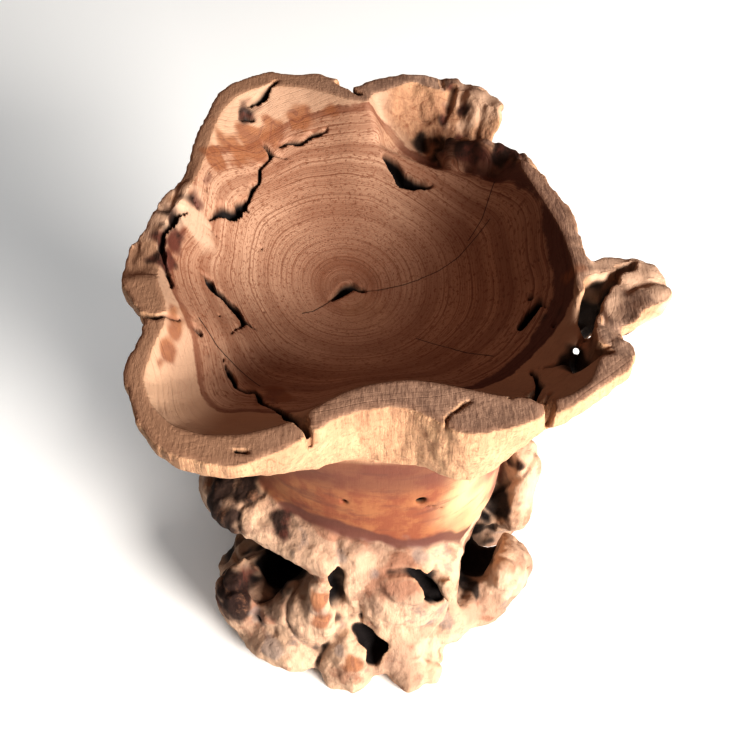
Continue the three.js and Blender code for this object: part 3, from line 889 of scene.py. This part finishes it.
def heartwood(s):
    """Red-brown, with dark rings and pores."""
    zone = s.line_noise(s.ring, 0.09, 2.0)
    dark_shares = [
        s.span(zone, 0.45, 0.68, 0.0, 0.42),
        s.span(s.ring, 46.0, 8.0, 0.0, 0.45),
        s.span(s.broad, 0.40, 0.7, 0.0, 0.4),
        s.times(s.year_line, 0.8),
        s.span(s.fine_rings, 0.42, 0.72, 0.0, 0.5),
        s.span(s.speckle, 0.54, 0.70, 0.0, 0.55),
        s.times(s.dashes, 0.6),
    ]
    return s.coats(HEARTWOOD, *((share, HEARTWOOD_DARK) for share in dark_shares))


def sapwood(s):
    """Cream to tan, with faint rings and dark curls here and there."""
    curls = s.times(s.span(s.swirl, 0.78, 0.95), s.span(s.swirl, 1.0, 0.95))
    return s.coats(
        CREAM,
        (s.span(s.mottle, 0.38, 0.62), SAPWOOD),
        (s.span(s.broad, 0.48, 0.62, 0.0, 0.7), TAN),
        (s.times(s.year_line, 0.25), TAN),
        (s.times(curls, s.span(s.broad, 0.42, 0.6), 0.6), HEARTWOOD_DARK),
    )


def flame_wood(s):
    """Orange, with dark swirls."""
    streaks = s.math("MAXIMUM", s.span(s.swirl, 0.5, 0.95), s.span(s.mottle, 0.46, 0.62, 0.0, 0.8))
    return s.mix(streaks, ORANGE_WOOD, HEARTWOOD_DARK)


def bowl_wood(s, sap):
    """Inside the bowl a frayed dark band parts the heartwood from the sapwood."""
    frayed = s.math("MULTIPLY_ADD", s.math("SUBTRACT", s.mottle, 0.5), 7.0, s.attribute("heart"))
    wide = s.span(s.across, 0.02, 0.09, 3.2, 9.5)
    band = s.times(s.span(s.math("ADD", frayed, wide), -0.6, 1.6), s.span(frayed, 1.6, 0.2))
    band_colour = s.mix(s.span(s.across, -0.01, 0.06), RED_LINE, RING_BAND)
    return s.coats(
        heartwood(s),
        (s.span(frayed, -0.5, 1.2), s.mix(0.65, sap, PALE_WOOD)),
        (s.times(band, s.span(s.across, -0.01, 0.06, 0.7, 0.88)), band_colour),
    )


def sawn_wood(s, inner):
    """The sawn top: grey-brown, with short strokes of the saw and worn edges."""
    strokes = s.math("ADD", s.strokes, s.times(s.mottle, 0.6))
    return s.coats(
        SAWN,
        (s.span(strokes, 0.62, 0.98), SAWN_PALE),
        (s.span(s.across, 0.02, -0.09, 0.0, 0.7), SAPWOOD),
        (s.times(s.attribute("ridge"), 0.6), TAN),
        (0.10, inner),
    )


def skin_wood(s, sap):
    """The outer wall and the foot: sapwood, paler low down, with painted shade in its creases and hollows
    and a painted highlight on its ridges.
    """
    low_down = s.span(s.level, 0.150, 0.125)
    blotch = s.noise(s.place, 30.0, 4.0, 0.6, 0.4)
    return s.coats(
        sap,
        (s.span(s.upright, 0.40, 0.62, 0.0, 0.75), SAPWOOD),
        (s.span(s.speckle, 0.52, 0.70, 0.0, 0.6), TAN),
        (s.times(low_down, 0.75), PALE_WOOD),
        (s.times(s.span(s.broad, 0.48, 0.62), low_down, 0.55), ROOT_BROWN),
        (s.times(s.span(s.mottle, 0.50, 0.66), low_down, 0.65), ROOT_BROWN),
        (s.times(s.span(blotch, 0.54, 0.64), low_down, 0.5), NECK_RED),
        (s.times(s.span(blotch, 0.42, 0.34), low_down, 0.5), GREY_STAIN),
        # painted highlight on ridges
        (s.times(s.attribute("ridge"), 0.5), CREAM),
        # painted shade in creases and hollows
        (s.times(s.attribute("groove"), 0.85), BARK_AND_SHADE),
        (s.times(s.attribute("cavity"), 0.65), BARK_AND_SHADE),
    )


def neck_wood(s):
    """Red, with a dark band above the foot, going to gold and tan on the right."""
    golden = s.math("MULTIPLY_ADD", s.broad, 0.07, s.across)
    wet_band = s.times(s.span(s.attribute("lift"), 10.5, 6.0), s.span(golden, 0.12, 0.09))
    shaded_top = s.times(s.span(s.level, 0.166, 0.186), s.span(golden, 0.115, 0.085, 0.0, 0.65))
    streak = s.noise(s.stretched(s.place, (30.0, 30.0, 130.0)), 1.0, 5.0, 0.62)
    return s.coats(
        NECK_RED,
        (s.span(s.mottle, 0.38, 0.62), ORANGE_WOOD),
        (s.span(golden, 0.066, 0.100), NECK_GOLD),
        (s.span(golden, 0.098, 0.110), NECK_TAN),
        (s.times(wet_band, 0.9), NECK_DARK),
        (shaded_top, NECK_DARK),
        (s.span(streak, 0.50, 0.70, 0.0, 0.5), NECK_DARK),
    )


def wood_colour(s, bowl, sawn, neck):
    """The wood that each place shows, then the patches, and painted shade in whatever is carved into it.
    """
    sap = sapwood(s)
    inner = bowl_wood(s, sap)
    check_line = s.span(s.math("ABSOLUTE", s.attribute("check")), 0.42, 0.18)
    checks = s.times(check_line, s.math("ADD", bowl, sawn))
    # painted shade: pockets, cracks and holes go black with their depth below the uncut surface
    carved = s.span(s.attribute("sunk"), 0.9, 5.0)
    return s.coats(
        s.mix(s.math("MAXIMUM", bowl, sawn), skin_wood(s, sap), inner),
        (sawn, sawn_wood(s, inner)),
        (neck, neck_wood(s)),
        (s.times(s.attribute("pale"), 0.85), PALE_WOOD),
        (s.times(s.attribute("orange"), 0.85), flame_wood(s)),
        # red-brown bark, and painted shade on the left lobe
        (s.times(s.attribute("red_bark_and_shade"), 0.97), s.mix(s.span(s.mottle, 0.4, 0.6), BARK_AND_SHADE, RING_BAND)),
        # painted shade on the left of the foot, dark brown mottled with tan
        (s.times(s.attribute("foot_shade"), 0.96), s.mix(s.span(s.mottle, 0.52, 0.72), BARK_AND_SHADE, TAN)),
        (s.times(s.attribute("stain"), 0.6), GREY_STAIN),
        # painted shade in the deep hollows and crevices
        (s.times(s.attribute("shade_spots"), 0.93), SHADE_BLACK),
        # painted shade in what is carved, and the thin checks drawn as dark lines
        (s.math("MAXIMUM", carved, s.times(checks, 0.85)), SHADE_BLACK),
    )


def wood_relief(s, bowl, sawn, smooth):
    """Fine relief: rings and dashes in the bowl, saw strokes on the top, grain everywhere else."""
    rings = s.math("ADD", s.year_line, s.fine_rings)
    grain = s.times(rings, s.math("MULTIPLY_ADD", sawn, 0.4, bowl), -0.2)
    texture = s.math("ADD", s.times(s.speckle, 0.5), s.times(s.upright, 0.9))
    rough = s.span(s.math("MAXIMUM", smooth, s.times(sawn, 0.8)), 0.0, 1.0, 1.0, 0.22)
    relief = s.math("MULTIPLY_ADD", texture, rough, grain)
    relief = s.math("MULTIPLY_ADD", s.times(s.strokes, sawn), 0.35, relief)
    relief = s.math("MULTIPLY_ADD", s.times(s.dashes, bowl), -0.12, relief)
    bump = s.node("ShaderNodeBump")
    bump.inputs["Strength"].default_value = 0.8
    bump.inputs["Distance"].default_value = 0.0012
    s.join(relief, bump.inputs["Height"])
    return bump.outputs[0]


def wood_material():
    s = WoodShader("burl_wood")
    bowl, sawn, neck = (s.attribute(name) for name in ("bowl", "sawn", "neck"))
    smooth = s.math("ADD", bowl, neck, clamp=True)
    pores = s.noise(s.place, 1500.0, 2.0, 0.6)
    dull = s.span(smooth, 0.0, 1.0, ROUGH_SKIN, ROUGH_CARVED)
    principled = s.node("ShaderNodeBsdfPrincipled")
    s.join(wood_colour(s, bowl, sawn, neck), principled.inputs["Base Color"])
    s.join(s.math("MULTIPLY_ADD", pores, 0.12, dull), principled.inputs["Roughness"])
    s.join(wood_relief(s, bowl, sawn, smooth), principled.inputs["Normal"])
    principled.inputs["Specular IOR Level"].default_value = 0.28
    s.join(principled.outputs[0], s.node("ShaderNodeOutputMaterial").inputs[0])
    return s.material


# ---------------------------------------------------------------- floor, light and camera

CAMERA_LIFT = math.radians(50)  # how far above the horizon the camera looks from
CAMERA_AIM = Vector((0, 0, 0.175))
CAMERA_AWAY = 0.65576
CAMERA_LENS = 48.0
CAMERA_SENSOR = 36.0
FLOOR_HALF = 4.0  # half the floor's side
FLOOR_GREY = 0.92
LIGHT_AIM = Vector((0, 0, 0.2))
LIGHT_TURN = math.radians(45)  # how far to the right of the camera the key light stands
LIGHT_LIFT = math.radians(20)
LIGHT_AWAY = 2.6
LIGHT_SIZE = 1.2
LIGHT_POWER = 190
OVERHEAD = Vector((0, 0, 3.2))  # where the fill and the floor's wash hang
OVERHEAD_SIZE = 3.0
FILL_POWER = 15
WASH_POWER = 58
KEY_COLOUR = (1.0, 0.95, 0.89)
FILL_COLOUR = (1.0, 0.33, 0.12)
WASH_COLOUR = (0.97, 0.99, 1.0)
ROOM_COLOUR = (1.0, 0.90, 0.82)
ROOM_STRENGTH = 0.09
PICTURE_GAMMA = 0.82


def plain_floor():
    mesh = bpy.data.meshes.new("floor")
    corners = [(FLOOR_HALF * x, FLOOR_HALF * y, 0) for x, y in ((-1, -1), (1, -1), (1, 1), (-1, 1))]
    mesh.from_pydata(corners, [], [(0, 1, 2, 3)])
    floor = bpy.data.objects.new("floor", mesh)
    floor.location.z = CAD_BOX[0][2] - 0.0002
    bpy.context.scene.collection.objects.link(floor)
    s = Shader("floor")
    principled = s.node("ShaderNodeBsdfPrincipled")
    principled.inputs["Base Color"].default_value = (FLOOR_GREY, FLOOR_GREY, FLOOR_GREY, 1)
    principled.inputs["Roughness"].default_value = 0.9
    s.join(principled.outputs[0], s.node("ShaderNodeOutputMaterial").inputs[0])
    mesh.materials.append(s.material)
    floor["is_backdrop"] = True
    return floor


def area_light(name, place, size, power, colour):
    """A round lamp at place that looks at the piece."""
    data = bpy.data.lights.new(name, "AREA")
    data.shape = "DISK"
    data.size = size
    data.energy = power
    data.color = colour
    lamp = bpy.data.objects.new(name, data)
    lamp.location = place
    lamp.rotation_euler = (LIGHT_AIM - place).to_track_quat("-Z", "Y").to_euler()
    bpy.context.scene.collection.objects.link(lamp)
    return lamp


def light_only(lamp, receiver):
    """Lets a lamp light one object and nothing else."""
    receivers = bpy.data.collections.new(lamp.name + "_receivers")
    receivers.objects.link(receiver)
    lamp.light_linking.receiver_collection = receivers


def studio(floor, piece):
    """A low soft key light, a warm fill from above for the piece, and a wash for the floor."""
    flat = Vector((math.sin(LIGHT_TURN), -math.cos(LIGHT_TURN), 0))
    toward = flat * math.cos(LIGHT_LIFT) + Vector((0, 0, math.sin(LIGHT_LIFT)))
    area_light("key", LIGHT_AIM + toward * LIGHT_AWAY, LIGHT_SIZE, LIGHT_POWER, KEY_COLOUR)
    light_only(area_light("fill", OVERHEAD, OVERHEAD_SIZE, FILL_POWER, FILL_COLOUR), piece)
    light_only(area_light("floor_wash", OVERHEAD, OVERHEAD_SIZE, WASH_POWER, WASH_COLOUR), floor)
    world = bpy.data.worlds.new("studio")
    world.use_nodes = True
    background = world.node_tree.nodes["Background"]
    background.inputs["Color"].default_value = (*ROOM_COLOUR, 1)
    background.inputs["Strength"].default_value = ROOM_STRENGTH
    bpy.context.scene.world = world
    bpy.context.scene.view_settings.view_transform = "Standard"
    bpy.context.scene.view_settings.gamma = PICTURE_GAMMA


def camera():
    data = bpy.data.cameras.new("camera")
    data.lens = CAMERA_LENS
    data.sensor_width = CAMERA_SENSOR
    data.clip_start = 0.01
    made = bpy.data.objects.new("camera", data)
    back = Vector((0, -math.cos(CAMERA_LIFT), math.sin(CAMERA_LIFT)))
    made.location = CAMERA_AIM + back * CAMERA_AWAY
    made.rotation_euler = (-back).to_track_quat("-Z", "Y").to_euler()
    bpy.context.scene.collection.objects.link(made)
    bpy.context.scene.camera = made


# ---------------------------------------------------------------- the scene

piece = burl_piece()
piece.data.materials.append(wood_material())
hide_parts(NODE)
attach(piece, "root")

studio(plain_floor(), piece)
camera()

low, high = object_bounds()
